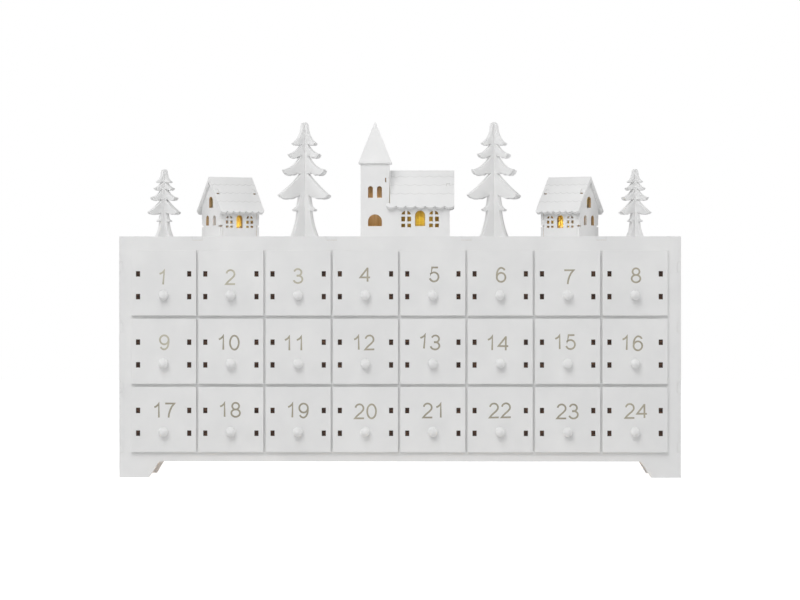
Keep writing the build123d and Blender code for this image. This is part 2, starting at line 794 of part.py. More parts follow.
church_place = Location((0, village_y, top_z))
spire_place = Location((tower_x, village_y + church_front_y + tower_width / 2, top_z))
save(church_front.part.moved(church_place), "church_front_wall")
save(cross_wall.part.moved(church_place), "church_cross_wall")
save_group(
    [piece.part.moved(church_place) for piece in (tower_left_wall, tower_back_wall)], "church_tower_walls"
)
save_group([piece.part.moved(church_place) for piece in (nave_back_wall, nave_gable)], "church_nave_walls")
save_group([piece.moved(church_place) for piece in nave_roof], "church_nave_roof")
save(spire.part.moved(spire_place), "church_spire")

# Lamps stand in the top panel, one in each house, one in the tower and one in the nave
lamp_places = (
    (house_places[0], village_y),
    (tower_x, village_y + church_front_y + tower_width / 2),
    (nave_door_place, village_y),
    (house_places[1], village_y),
)
lamp_radius = lamp_diameter / 2
lamps = []
for x, y in lamp_places:
    with BuildPart() as lamp:
        with BuildSketch(Plane.XZ):
            with BuildLine():
                Polyline(
                    (0, -sheet - lamp_rim_height),
                    (lamp_rim_diameter / 2, -sheet - lamp_rim_height),
                    (lamp_rim_diameter / 2, -sheet),
                    (lamp_radius, -sheet),
                    (lamp_radius, lamp_height - lamp_radius),
                )
                RadiusArc((lamp_radius, lamp_height - lamp_radius), (0, lamp_height), -lamp_radius)
                Line((0, lamp_height), (0, -sheet - lamp_rim_height))
            make_face()
        revolve(axis=Axis.Z)
    lamps.append(lamp.part.moved(Location((x, y, top_z))))
save_group(lamps, "village_lamps")

# Top panel with tabs, lamp holes and slots for the trees and walls that stand on it
with BuildPart() as top_panel:
    with BuildSketch(Plane.XY.offset(top_z - sheet)):
        level_outline(inner_depth)
        for y in (inner_front_y, inner_back_y):
            with Locations(*[(x, y) for x in divider_xs[::2]]):
                Rectangle(top_tab_length, 2 * (sheet - tab_recess))
        with Locations(*lamp_places):
            Circle(lamp_radius + lamp_clearance, mode=Mode.SUBTRACT)
        for name, x, height, tip_radius, tree_angle in tree_places:
            for turn in (tree_angle, tree_angle - 90):
                with Locations(Location((x, village_y, 0), (0, 0, turn))):
                    with Locations((-tree_tab_offset, 0), (tree_tab_offset, 0)):
                        Rectangle(
                            tree_tab_width + 2 * joint_gap, sheet + 2 * joint_gap, mode=Mode.SUBTRACT
                        )
        for x, turn in ((house_places[0], house_turn), (house_places[1], -house_turn)):
            with Locations(Location((x, village_y, 0), (0, 0, turn))):
                wall_middle = (house_width - thin_sheet) / 2
                with Locations((0, -wall_middle), (0, wall_middle)):
                    Rectangle(
                        floor_tab_width + 2 * joint_gap, thin_sheet + 2 * joint_gap, mode=Mode.SUBTRACT
                    )
        wall_middle = (nave_depth - thin_sheet) / 2
        with Locations(*[(nave_floor_tab_x, village_y + side * wall_middle) for side in (-1, 1)]):
            Rectangle(floor_tab_width + 2 * joint_gap, thin_sheet + 2 * joint_gap, mode=Mode.SUBTRACT)
    extrude(amount=sheet)
save(top_panel.part, "top_panel")

# Battery case: a flanged tray in the back panel with a bay for two cells and a pocket for the switch
case_floor_y = back_y - case_depth
flange_y = back_y + flange_thickness
with BuildPart() as battery_case:
    with BuildSketch(upright(case_floor_y)):
        with Locations((0, case_height_on_back)):
            Rectangle(case_length, case_height)
    extrude(amount=-case_depth)
    with BuildSketch(upright(back_y)):
        with Locations((0, case_height_on_back)):
            RectangleRounded(flange_length, flange_height, flange_margin / 2)
    extrude(amount=-flange_thickness)
    with BuildSketch(upright(case_floor_y + wall)):
        with Locations((bay_x, case_height_on_back)):
            Rectangle(bay_length, bay_height)
    extrude(amount=-(case_depth + flange_thickness), mode=Mode.SUBTRACT)
    with BuildSketch(upright(case_floor_y + wall)):
        with Locations((pocket_x, case_height_on_back)):
            Rectangle(switch_pocket, bay_height)
    extrude(amount=-(case_depth - wall), mode=Mode.SUBTRACT)
    with BuildSketch(upright(back_y)):
        with Locations((pocket_x, case_height_on_back + switch_travel / 2)):
            Rectangle(slider_length + 2 * switch_gap, slider_height + switch_travel + 2 * switch_gap)
        with Locations(*screw_places):
            Circle(screw_shank_diameter / 2 + screw_clearance)
    extrude(amount=-flange_thickness, mode=Mode.SUBTRACT)
save(battery_case.part, "battery_case")

with BuildPart() as switch_slider:
    with BuildSketch(upright(back_y - switch_gap)):
        with Locations((pocket_x, case_height_on_back)):
            Rectangle(slider_length + 2 * slider_foot_margin, slider_height + 2 * slider_foot_margin)
    extrude(amount=slider_foot_thickness)
    with BuildSketch(upright(back_y - switch_gap)):
        with Locations((pocket_x, case_height_on_back)):
            Rectangle(slider_length, slider_height)
    extrude(amount=-(switch_gap + flange_thickness + slider_reach))
save(switch_slider.part, "switch_slider")

lip_length = bay_length - 2 * cover_lip_gap
lip_height = bay_height - 2 * cover_lip_gap
with BuildPart() as battery_cover:
    with BuildSketch(upright(flange_y)):
        with Locations((bay_x, case_height_on_back)):
            RectangleRounded(bay_length + 2 * cover_margin, bay_height + 2 * cover_margin, cover_margin)
    extrude(amount=-cover_thickness)
    with BuildSketch(upright(flange_y)):
        with Locations((bay_x, case_height_on_back)):
            Rectangle(lip_length, lip_height)
            Rectangle(lip_length - 2 * wall, lip_height - 2 * wall, mode=Mode.SUBTRACT)
    extrude(amount=cover_lip_depth)
save(battery_cover.part, "battery_cover")

cell_y = case_floor_y + wall + cell_gap + cell_diameter / 2
cell_rise = (cell_diameter + cell_gap) / 2
cells = []
for side in (-1, 1):
    with BuildPart() as cell:
        with BuildSketch(Plane.YZ.offset(bay_x - cell_length / 2)):
            with Locations((cell_y, case_height_on_back + side * cell_rise)):
                Circle(cell_diameter / 2)
        extrude(amount=cell_length - cell_nub_length)
        with BuildSketch(Plane.YZ.offset(bay_x + cell_length / 2 - cell_nub_length)):
            with Locations((cell_y, case_height_on_back + side * cell_rise)):
                Circle(cell_nub_diameter / 2)
        extrude(amount=cell_nub_length)
    turned = Location((bay_x, cell_y, 0), (0, 0, 90 - 90 * side)) * Location((-bay_x, -cell_y, 0))
    cells.append(cell.part.moved(turned))
save_group(cells, "battery_cells")

contact_height = cell_diameter - 2 * cell_gap
contact_z = case_height_on_back
contact_x = bay_length / 2 - contact_gap - contact_thickness
bridge_height = bay_height - 2 * cell_gap
contacts = []
for plate_x, plate_z, plate_height in (
    (bay_x - contact_x - contact_thickness, contact_z, bridge_height),
    (bay_x + contact_x, contact_z - cell_rise, contact_height),
    (bay_x + contact_x, contact_z + cell_rise, contact_height),
):
    with BuildPart() as contact:
        with BuildSketch(Plane.YZ.offset(plate_x)):
            with Locations((cell_y, plate_z)):
                Rectangle(contact_height, plate_height)
        extrude(amount=contact_thickness)
    contacts.append(contact.part)
save_group(contacts, "battery_contacts")

screws = []
for x, z in screw_places:
    with BuildPart() as screw:
        with BuildSketch(upright(flange_y)):
            with Locations((x, z)):
                Circle(screw_head_diameter / 2)
        extrude(amount=-screw_head_height)
        with BuildSketch(upright(flange_y)):
            with Locations((x, z)):
                Circle(screw_shank_diameter / 2)
        extrude(amount=screw_shank_length)
    screws.append(screw.part)
save_group(screws, "case_screws")

# Wires run from the lamps under the top panel to the back and down to the battery case
wire_z = deck_z + sheet + wire_diameter
wire_end_z = case_height_on_back + case_height / 2
drop_y = back_y - case_depth / 2
lane_y = inner_front_y + compartment_depth - wire_lane_pitch
wires = []
for index, (x, y) in enumerate(lamp_places):
    drop_x = (index - (len(lamp_places) - 1) / 2) * wire_lane_pitch
    outer = index in (0, len(lamp_places) - 1)
    run_y = lane_y + (wire_lane_pitch if outer else 0)
    start_z = top_z - sheet - lamp_rim_height
    with BuildPart() as wire:
        with BuildLine() as route:
            FilletPolyline(
                (x, y, start_z),
                (x, y, wire_z),
                (x, run_y, wire_z),
                (drop_x, run_y, wire_z),
                (drop_x, drop_y, wire_z),
                (drop_x, drop_y, wire_end_z),
                radius=wire_bend,
            )
        with BuildSketch(Plane.XY.offset(start_z)):
            with Locations((x, y)):
                Circle(wire_diameter / 2)
        sweep()
    wires.append(wire.part)
save_group(wires, "lamp_wires")
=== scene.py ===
import math

import bmesh
import bpy
from mathutils import Matrix, Vector


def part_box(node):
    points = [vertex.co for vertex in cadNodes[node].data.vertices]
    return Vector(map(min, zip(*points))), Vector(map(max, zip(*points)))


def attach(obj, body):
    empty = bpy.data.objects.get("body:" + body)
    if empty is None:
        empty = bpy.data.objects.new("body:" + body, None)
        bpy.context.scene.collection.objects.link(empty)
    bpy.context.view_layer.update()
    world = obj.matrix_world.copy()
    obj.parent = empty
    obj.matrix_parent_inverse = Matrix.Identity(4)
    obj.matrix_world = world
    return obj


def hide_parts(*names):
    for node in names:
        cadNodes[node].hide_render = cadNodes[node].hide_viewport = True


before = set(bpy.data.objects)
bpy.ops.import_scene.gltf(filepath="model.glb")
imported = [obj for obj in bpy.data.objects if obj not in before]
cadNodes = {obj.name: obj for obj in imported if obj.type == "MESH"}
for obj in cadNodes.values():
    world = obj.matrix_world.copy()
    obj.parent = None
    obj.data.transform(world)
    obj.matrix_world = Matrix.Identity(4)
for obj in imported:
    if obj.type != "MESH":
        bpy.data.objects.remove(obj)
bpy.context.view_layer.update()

mm = 0.001
print("frame loaded,", len(cadNodes), "nodes")

# places that other pieces are set against, read from the solids
villageDepth = 40 * mm  # from the front panel back to the row of trees and houses
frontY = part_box("front_panel")[0].y
villageY = frontY + villageDepth
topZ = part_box("top_panel")[1].z


# small tools for node trees
def feed(tree, node, inputs):
    for key, value in inputs.items():
        if isinstance(value, bpy.types.NodeSocket):
            tree.links.new(value, node.inputs[key])
        else:
            node.inputs[key].default_value = value


def put(tree, kind, inputs=None, **props):
    node = tree.nodes.new(kind)
    for key, value in props.items():
        setattr(node, key, value)
    feed(tree, node, inputs or {})
    return node


def newFinish(name):
    finish = bpy.data.materials.new(name)
    finish.use_nodes = True
    tree = finish.node_tree
    return finish, tree, tree.nodes["Principled BSDF"]


def objectPlace(tree):
    return put(tree, "ShaderNodeTexCoord").outputs["Object"]


def colorBand(tree, factor, stops):
    band = put(tree, "ShaderNodeValToRGB", {"Fac": factor})
    ramp = band.color_ramp
    while len(ramp.elements) < len(stops):
        ramp.elements.new(0.5)
    for element, (spot, color) in zip(ramp.elements, stops):
        element.position = spot
        element.color = (*color, 1)
    return band.outputs["Color"]


def numberBand(tree, value, low, high):
    return put(tree, "ShaderNodeMapRange", {"Value": value, "To Min": low, "To Max": high}).outputs["Result"]


def noise(tree, place, scale, detail):
    inputs = {"Vector": place, "Scale": scale, "Detail": detail}
    return put(tree, "ShaderNodeTexNoise", inputs).outputs["Fac"]


def stretchedNoise(tree, place, stretch, detail=4.0, roughness=0.55):
    laid = put(tree, "ShaderNodeMapping", {"Vector": place, "Scale": stretch})
    inputs = {"Vector": laid.outputs["Vector"], "Scale": 1.0, "Detail": detail, "Roughness": roughness}
    return put(tree, "ShaderNodeTexNoise", inputs).outputs["Fac"]


def mixColors(tree, factor, first, second):
    if not isinstance(second, bpy.types.NodeSocket):
        second = (*second, 1)
    return put(tree, "ShaderNodeMix", {0: factor, 6: first, 7: second}, data_type="RGBA").outputs[2]


def calculate(tree, kind, first, second=0.0):
    return put(tree, "ShaderNodeMath", {0: first, 1: second}, operation=kind).outputs[0]


def bumped(tree, height, strength, depth, under=None, **props):
    bump = put(tree, "ShaderNodeBump", {"Height": height, "Strength": strength, "Distance": depth}, **props)
    if under:
        tree.links.new(under, bump.inputs["Normal"])
    return bump.outputs["Normal"]


# small tools for pieces
def show(obj):
    bpy.context.scene.collection.objects.link(obj)


def dress(name, finish):
    mesh = cadNodes[name].data
    mesh.materials.clear()
    mesh.materials.append(finish)


def addPiece(name, mesh, finishes, body):
    mesh.name = name
    mesh.materials.clear()
    for finish in finishes:
        mesh.materials.append(finish)
    obj = bpy.data.objects.new(name, mesh)
    show(obj)
    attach(obj, body)
    return obj


def newPiece(name, points, faces, finishes, body):
    mesh = bpy.data.meshes.new(name)
    mesh.from_pydata(points, [], faces)
    mesh.validate()
    mesh.update()
    return addPiece(name, mesh, finishes, body)


# reading the solids: how close counts as the same point, side, level or line
tolerance = {
    "weld": 2e-6,
    "join": 1e-7,
    "parallel": 0.999,
    "facing": 0.99,
    "level": 2e-5,
    "straight": 2e-7,
}


def looseParts(name):
    whole = bmesh.new()
    whole.from_mesh(cadNodes[name].data)
    bmesh.ops.remove_doubles(whole, verts=whole.verts, dist=tolerance["weld"])
    whole.faces.ensure_lookup_table()
    seen, parts = set(), []
    for face in whole.faces:
        if face in seen:
            continue
        group, waiting = [], [face]
        seen.add(face)
        while waiting:
            now = waiting.pop()
            group.append(now)
            for edge in now.edges:
                for near in edge.link_faces:
                    if near not in seen:
                        seen.add(near)
                        waiting.append(near)
        index, points, faces = {}, [], []
        for one in group:
            ring = []
            for vert in one.verts:
                if vert not in index:
                    index[vert] = len(points)
                    points.append(tuple(vert.co))
                ring.append(index[vert])
            faces.append(ring)
        parts.append((points, faces))
    whole.free()
    return parts


def spread(points):
    low = Vector([min(p[i] for p in points) for i in range(3)])
    high = Vector([max(p[i] for p in points) for i in range(3)])
    return low, high


def broadSide(points, faces, backSide):
    broad, normals = {}, []
    for face in faces:
        a, b, c = (points[i] for i in face[:3])
        cross = (b - a).cross(c - a)
        normal = cross.normalized()
        normals.append(normal)
        for key, total in broad.items():
            if abs(normal.dot(Vector(key))) > tolerance["parallel"]:
                broad[key] = total + cross.length
                break
        else:
            broad[tuple(normal)] = cross.length
    out = Vector(max(broad, key=broad.get))
    lead = max(range(3), key=lambda i: abs(out[i]))
    if (out[lead] > 0) != backSide:
        out = -out
    return out, normals


def edgeLoops(points, faces, normals, out, level):
    used = {}
    for face, normal in zip(faces, normals):
        onLevel = abs(points[face[0]].dot(out) - level) < tolerance["level"]
        if onLevel and normal.dot(out) > tolerance["facing"]:
            used.update(dict.fromkeys(zip(face, face[1:] + face[:1])))
    following = {i: j for i, j in used if (j, i) not in used}
    loops = []
    while following:
        start, here = following.popitem()
        loop = [start]
        while here != start:
            loop.append(here)
            here = following.pop(here)
        loops.append(loop)
    return loops


def cornersOf(flat):
    corners = []
    for index, (x, y) in enumerate(flat):
        (px, py), (nx, ny) = flat[index - 1], flat[(index + 1) % len(flat)]
        area = abs((x - px) * (ny - y) - (y - py) * (nx - x))
        if area > tolerance["straight"] * math.hypot(nx - px, ny - py):
            corners.append((x, y))
    return corners


# a sheet's own outline and holes, read off its broad side, given back as a board with rounded edges
def sheetMesh(points, faces, rounding, backSide=False):
    points = [Vector(p) for p in points]
    out, normals = broadSide(points, faces, backSide)
    level = max(p.dot(out) for p in points)
    thick = level - min(p.dot(out) for p in points)
    across = out.orthogonal().normalized()
    upward = out.cross(across)
    drawn = bpy.data.curves.new("outline", "CURVE")
    drawn.dimensions = "2D"
    drawn.fill_mode = "BOTH"
    drawn.extrude = thick / 2 - rounding
    drawn.bevel_depth = rounding
    drawn.bevel_resolution = 1
    drawn.offset = -rounding
    for loop in edgeLoops(points, faces, normals, out, level):
        corners = cornersOf([(points[i].dot(across), points[i].dot(upward)) for i in loop])
        line = drawn.splines.new("POLY")
        line.use_cyclic_u = True
        line.use_smooth = False
        line.points.add(len(corners) - 1)
        for point, (x, y) in zip(line.points, corners):
            point.co = (x, y, 0, 1)
    holder = bpy.data.objects.new("outline", drawn)
    show(holder)
    mesh = bpy.data.meshes.new_from_object(holder.evaluated_get(bpy.context.evaluated_depsgraph_get()))
    bpy.data.objects.remove(holder)
    bpy.data.curves.remove(drawn)
    turn = Matrix((across, upward, out)).transposed().to_4x4()
    turn.translation = out * (level - thick / 2)
    mesh.transform(turn)
    return mesh


def joined(meshes):
    whole = bmesh.new()
    for mesh in meshes:
        whole.from_mesh(mesh)
        bpy.data.meshes.remove(mesh)
    bmesh.ops.remove_doubles(whole, verts=whole.verts, dist=tolerance["join"])
    bmesh.ops.recalc_face_normals(whole, faces=whole.faces)
    mesh = bpy.data.meshes.new("joined")
    whole.to_mesh(mesh)
    whole.free()
    return mesh


def boardsFrom(node, name, finish, rounding):
    mesh = joined([sheetMesh(points, faces, rounding) for points, faces in looseParts(node)])
    board = addPiece(name, mesh, [finish], "cabinet")
    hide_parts(node)


# white paint over plywood, with the bare wood showing on the hidden side of a sheet
paintLook = {
    "cabinet": ((0.765, 0.766, 0.765), (0.805, 0.805, 0.802)),
    "village": ((0.815, 0.816, 0.815), (0.855, 0.855, 0.852)),
    "bareLight": (0.60, 0.43, 0.25),
    "bareDark": (0.44, 0.29, 0.155),
    "engraved": (0.50, 0.50, 0.49),
    "cloud": 38.0,
    "roller": 620.0,
    "grainBump": (0.10, 0.0003),
    "rollerBump": (0.05, 0.0002),
    "grooveBump": (0.8, 0.0003),
    "gloss": (0.50, 0.64),
    "shine": 0.35,
    "edgeSamples": 6,
}


def bareWood(tree, place, stretch):
    grain = stretchedNoise(tree, place, stretch, 6.0, 0.6)
    return grain, colorBand(tree, grain, [(0.30, paintLook["bareDark"]), (0.68, paintLook["bareLight"])])


def bareSide(tree, coords, toward, centre):
    arrow = put(tree, "ShaderNodeVectorMath", {0: coords.outputs["Normal"]}, operation="DOT_PRODUCT")
    if centre:
        inputs = {0: coords.outputs["Object"], 1: centre}
        away = put(tree, "ShaderNodeVectorMath", inputs, operation="SUBTRACT")
        tree.links.new(away.outputs["Vector"], arrow.inputs[1])
        return calculate(tree, "LESS_THAN", arrow.outputs["Value"], 0.0)
    arrow.inputs[1].default_value = toward
    return calculate(tree, "GREATER_THAN", arrow.outputs["Value"], 0.5)


def paintFinish(name, stretch, tone="cabinet", toward=None, centre=None, engraved=None, rounding=None):
    finish, tree, shader = newFinish(name)
    coords = put(tree, "ShaderNodeTexCoord")
    place = coords.outputs["Object"]
    shade, light = paintLook[tone]
    color = colorBand(tree, noise(tree, place, paintLook["cloud"], 3.0), [(0.34, shade), (0.66, light)])
    grain, wood = bareWood(tree, place, stretch)
    groove = engraved(tree, place) if engraved else None
    if groove:
        color = mixColors(tree, groove, color, paintLook["engraved"])
    if toward or centre:
        color = mixColors(tree, bareSide(tree, coords, toward, centre), color, wood)
    roller = noise(tree, place, paintLook["roller"], 2.0)
    normal = None
    if rounding:
        samples = paintLook["edgeSamples"]
        normal = put(tree, "ShaderNodeBevel", {"Radius": rounding}, samples=samples).outputs["Normal"]
    normal = bumped(tree, grain, *paintLook["grainBump"], normal)
    normal = bumped(tree, roller, *paintLook["rollerBump"], normal)
    if groove:
        normal = bumped(tree, groove, *paintLook["grooveBump"], normal, invert=True)
    gloss = numberBand(tree, roller, *paintLook["gloss"])
    feed(tree, shader, {"Base Color": color, "Roughness": gloss, "Normal": normal})
    shader.inputs["Specular IOR Level"].default_value = paintLook["shine"]
    return finish


plywoodLook = {
    "fleck": 70.0,
    "fleckTones": ((0.82, 0.82, 0.82), (1.0, 1.0, 1.0)),
    "bump": (0.2, 0.0003),
    "gloss": (0.62, 0.8),
    "shine": 0.25,
}


def plywoodFinish(name, stretch):
    finish, tree, shader = newFinish(name)
    place = objectPlace(tree)
    grain, wood = bareWood(tree, place, stretch)
    dull, clear = plywoodLook["fleckTones"]
    tone = colorBand(tree, noise(tree, place, plywoodLook["fleck"], 2.0), [(0.35, dull), (0.65, clear)])
    mix = put(tree, "ShaderNodeMix", {0: 1.0, 6: wood, 7: tone}, data_type="RGBA", blend_type="MULTIPLY")
    gloss = numberBand(tree, grain, *plywoodLook["gloss"])
    normal = bumped(tree, grain, *plywoodLook["bump"])
    feed(tree, shader, {"Base Color": mix.outputs[2], "Roughness": gloss, "Normal": normal})
    shader.inputs["Specular IOR Level"].default_value = plywoodLook["shine"]
    return finish


burntLook = {
    "layers": (300.0, 300.0, 900.0),
    "stops": ((0.30, (0.020, 0.014, 0.012)), (0.52, (0.055, 0.034, 0.026)), (0.75, (0.16, 0.085, 0.05))),
    "bump": (0.35, 0.0003),
    "gloss": (0.7, 0.9),
    "shine": 0.15,
}


def burntFinish():
    finish, tree, shader = newFinish("burntCutEdge")
    layers = stretchedNoise(tree, objectPlace(tree), burntLook["layers"], 3.0)
    color = colorBand(tree, layers, burntLook["stops"])
    gloss = numberBand(tree, layers, *burntLook["gloss"])
    normal = bumped(tree, layers, *burntLook["bump"])
    feed(tree, shader, {"Base Color": color, "Roughness": gloss, "Normal": normal})
    shader.inputs["Specular IOR Level"].default_value = burntLook["shine"]
    return finish


mouldedLook = {"cloud": 120.0, "bump": (0.12, 0.0001)}


def mouldedFinish(name, light, shade, gloss, grainScale=900.0, metal=0.0):
    finish, tree, shader = newFinish(name)
    place = objectPlace(tree)
    color = colorBand(tree, noise(tree, place, mouldedLook["cloud"], 3.0), [(0.35, shade), (0.65, light)])
    fine = noise(tree, place, grainScale, 2.0)
    normal = bumped(tree, fine, *mouldedLook["bump"])
    feed(tree, shader, {"Base Color": color, "Roughness": numberBand(tree, fine, *gloss), "Normal": normal})
    shader.inputs["Metallic"].default_value = metal
    return finish


grainLevel = (45.0, 850.0, 850.0)  # grain runs along X
grainDeep = (850.0, 45.0, 850.0)  # grain runs along Y
grainUpright = (850.0, 850.0, 45.0)  # grain runs up
burnt = burntFinish()
plyLevel = plywoodFinish("barePlywood", grainLevel)
plyDeep = plywoodFinish("barePlywoodDeep", grainDeep)
print("finishes ready")


# cabinet panels, painted outside, the front and the top bare on the inner side, and bare sheets within
cabinetLook = {"edge": 0.00008, "innerEdge": 0.0002}
paintedPanels = (
    ("front_panel", "frontPanel", "frontPaint", grainLevel, (0, 1, 0)),
    ("back_panel", "backPanel", "backPaint", grainLevel, None),
    ("left_side_panel", "leftSidePanel", "sidePaint", grainUpright, None),
    ("right_side_panel", "rightSidePanel", "sidePaint", grainUpright, None),
    ("top_panel", "topPanel", "topPaint", grainLevel, (0, 0, -1)),
)
for node, name, paint, grain, bare in paintedPanels:
    boardsFrom(node, name, paintFinish(paint, grain, toward=bare), cabinetLook["edge"])
innerSheets = (
    ("bottom_panel", "bottomPanel", plyLevel),
    ("lower_shelf", "lowerShelf", plyLevel),
    ("upper_shelf", "upperShelf", plyLevel),
    ("wiring_deck", "wiringDeck", plyLevel),
    ("dividers", "dividerSheets", plyDeep),
)
for node, name, finish in innerSheets:
    boardsFrom(node, name, finish, cabinetLook["innerEdge"])
print("cabinet built")


# drawers: painted face and knob on a bare plywood box, with burnt tab ends
drawerLook = {
    "faceEdge": 0.00018,
    "boxEdge": 0.00015,
    "thickest": 0.0045,  # every board is thinner than this
    "knobLargest": 0.012,
    "slotReach": (0.0235, 0.02),  # slots lie within this of the face's centre
    "slotWall": 0.9,  # slot walls face less than this to the front
    "tabProud": 0.0001,  # tab ends that reach this far into the face are burnt
    "knobTurns": 48,
    "knobRings": 24,
    "knobSunk": 0.0004,
    "knobCrease": 60,
}
facePaint = paintFinish("facePaint", grainLevel, toward=(0, 1, 0))
knobPaint = paintFinish("knobPaint", grainDeep)


def knobProfile(ball, reach):
    start = math.acos((reach - ball) / ball)  # where the flattened back meets the face
    rim = [(ball * math.sin(start), -drawerLook["knobSunk"])]
    rings = drawerLook["knobRings"]
    for step in range(rings + 1):
        angle = start + (math.pi - start) * step / rings
        rim.append((ball * math.sin(angle), reach - ball - ball * math.cos(angle)))
    return rim


def addKnob(number, x, y, z, ball, reach):
    rim, turns = knobProfile(ball, reach), drawerLook["knobTurns"]
    angles = [2 * math.pi * t / turns for t in range(turns)]
    points = [(x + r * math.cos(a), y - out, z + r * math.sin(a)) for r, out in rim[:-1] for a in angles]
    points.append((x, y - rim[-1][1], z))
    faces = []
    for ring in range(len(rim) - 2):
        for t in range(turns):
            a, b = ring * turns + t, ring * turns + (t + 1) % turns
            faces.append((a, b, b + turns, a + turns))
    last = (len(rim) - 2) * turns
    faces += [(last + t, last + (t + 1) % turns, len(points) - 1) for t in range(turns)]
    name = f"drawerKnob{number:02d}"
    knob = newPiece(name, points, faces, [knobPaint], f"drawer_{number:02d}")
    knob.data.polygons.foreach_set("use_smooth", [True] * len(knob.data.polygons))
    knob.data.set_sharp_from_angle(angle=math.radians(drawerLook["knobCrease"]))


def burnWhere(board, isBurnt):
    for poly in board.data.polygons:
        if isBurnt(poly):
            poly.material_index = 1


def addFace(number, points, faces, centre):
    node = f"drawer_{number:02d}"
    mesh = joined([sheetMesh(points, faces, drawerLook["faceEdge"], backSide=True)])
    board = addPiece(f"drawerFace{number:02d}", mesh, [facePaint, burnt], node)
    wide, high = drawerLook["slotReach"]

    def inSlot(poly):
        inside = abs(poly.center.x - centre.x) < wide and abs(poly.center.z - centre.z) < high
        return inside and abs(poly.normal.y) < drawerLook["slotWall"]

    burnWhere(board, inSlot)
    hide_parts(node)


def addBoxBoard(number, points, faces, kind, backOfFace):
    wood = plyLevel if kind == "Back" else plyDeep
    mesh = joined([sheetMesh(points, faces, drawerLook["boxEdge"])])
    name = f"drawer{kind}{number:02d}"
    board = addPiece(name, mesh, [wood, burnt], f"drawer_{number:02d}")
    burnWhere(board, lambda poly: poly.center.y < backOfFace - drawerLook["tabProud"])


def boardKind(low, size, centre):
    if size.x < drawerLook["thickest"]:
        return "SideLeft" if low.x < centre.x else "SideRight"
    return "Back" if size.y < drawerLook["thickest"] else "Bottom"


drawerPlaces = {}
for number in range(1, 25):
    boards = [(points, faces, *spread(points)) for points, faces in looseParts(f"drawer_{number:02d}")]
    thin = [b for b in boards if (b[3] - b[2]).y < drawerLook["thickest"]]
    face = max(thin, key=lambda b: (b[3] - b[2]).x * (b[3] - b[2]).z)
    faceLow, faceHigh = face[2:]
    centre = (faceLow + faceHigh) / 2
    drawerPlaces[number] = (centre.x, faceLow.y, centre.z)
    for points, faces, low, high in boards:
        size, middle = high - low, (low + high) / 2
        if points is face[0]:
            addFace(number, points, faces, centre)
        elif max(size.x, size.z) < drawerLook["knobLargest"]:
            addKnob(number, middle.x, faceLow.y, middle.z, size.x / 2, faceLow.y - low.y)
        else:
            addBoxBoard(number, points, faces, boardKind(low, size, centre), faceHigh.y)
print("drawers built:", len(drawerPlaces))


# numbers printed on the faces, drawn as strokes in a box one high
numberLook = {
    "height": 0.0126,
    "stroke": 0.00142,
    "proud": 0.00006,
    "step": 0.00002,
    "slant": 0.0001,
    "advance": 0.0096,
    "widen": 1.1,
    "digitWidth": 0.62,
    "sharpest": 0.45,
    "wear": 260.0,
    "gloss": (0.38, 0.52),
    "plain": ((0.325, 0.295, 0.225), (0.42, 0.385, 0.30)),
    "faint": ((0.43, 0.40, 0.315), (0.53, 0.495, 0.40)),
    "strong": ((0.275, 0.25, 0.19), (0.36, 0.33, 0.255)),
    "faintOnes": (1, 2, 3, 9),
    "strongOnes": (5, 10, 13, 17, 18, 19, 21, 22, 23),
}

# sideways and upward place of each number from its face's centre in mm, and its lean in degrees
numberPlaces = {
    1: (-0.7, 4.5, 5), 2: (-0.2, 4.7, 0), 3: (0.1, 5.6, 0), 4: (-0.3, 6.7, 0),
    5: (1.2, 6.8, 0), 6: (0.7, 6.5, 0), 7: (1.1, 4.6, 0), 8: (0.7, 6.1, 0),
    9: (0.5, 7.1, 0), 10: (-2.0, 6.9, 0), 11: (-3.0, 6.4, 0), 12: (-1.4, 7.0, -1),
    13: (-2.6, 7.5, 5), 14: (-2.3, 6.5, 1), 15: (-2.3, 7.4, 0), 16: (-2.5, 6.6, 2),
    17: (0.2, 7.2, 0), 18: (-1.0, 7.8, 0), 19: (-0.5, 7.3, 1), 20: (0.1, 6.6, 0),
    21: (0.8, 7.3, 0), 22: (0.0, 7.4, -1), 23: (0.1, 6.6, 0), 24: (0.7, 7.0, 0),
}


def bow(cx, cy, rx, ry, start, stop, steps):
    turns = [math.radians(start + (stop - start) * i / steps) for i in range(steps + 1)]
    return [(cx + rx * math.cos(t), cy + ry * math.sin(t)) for t in turns]


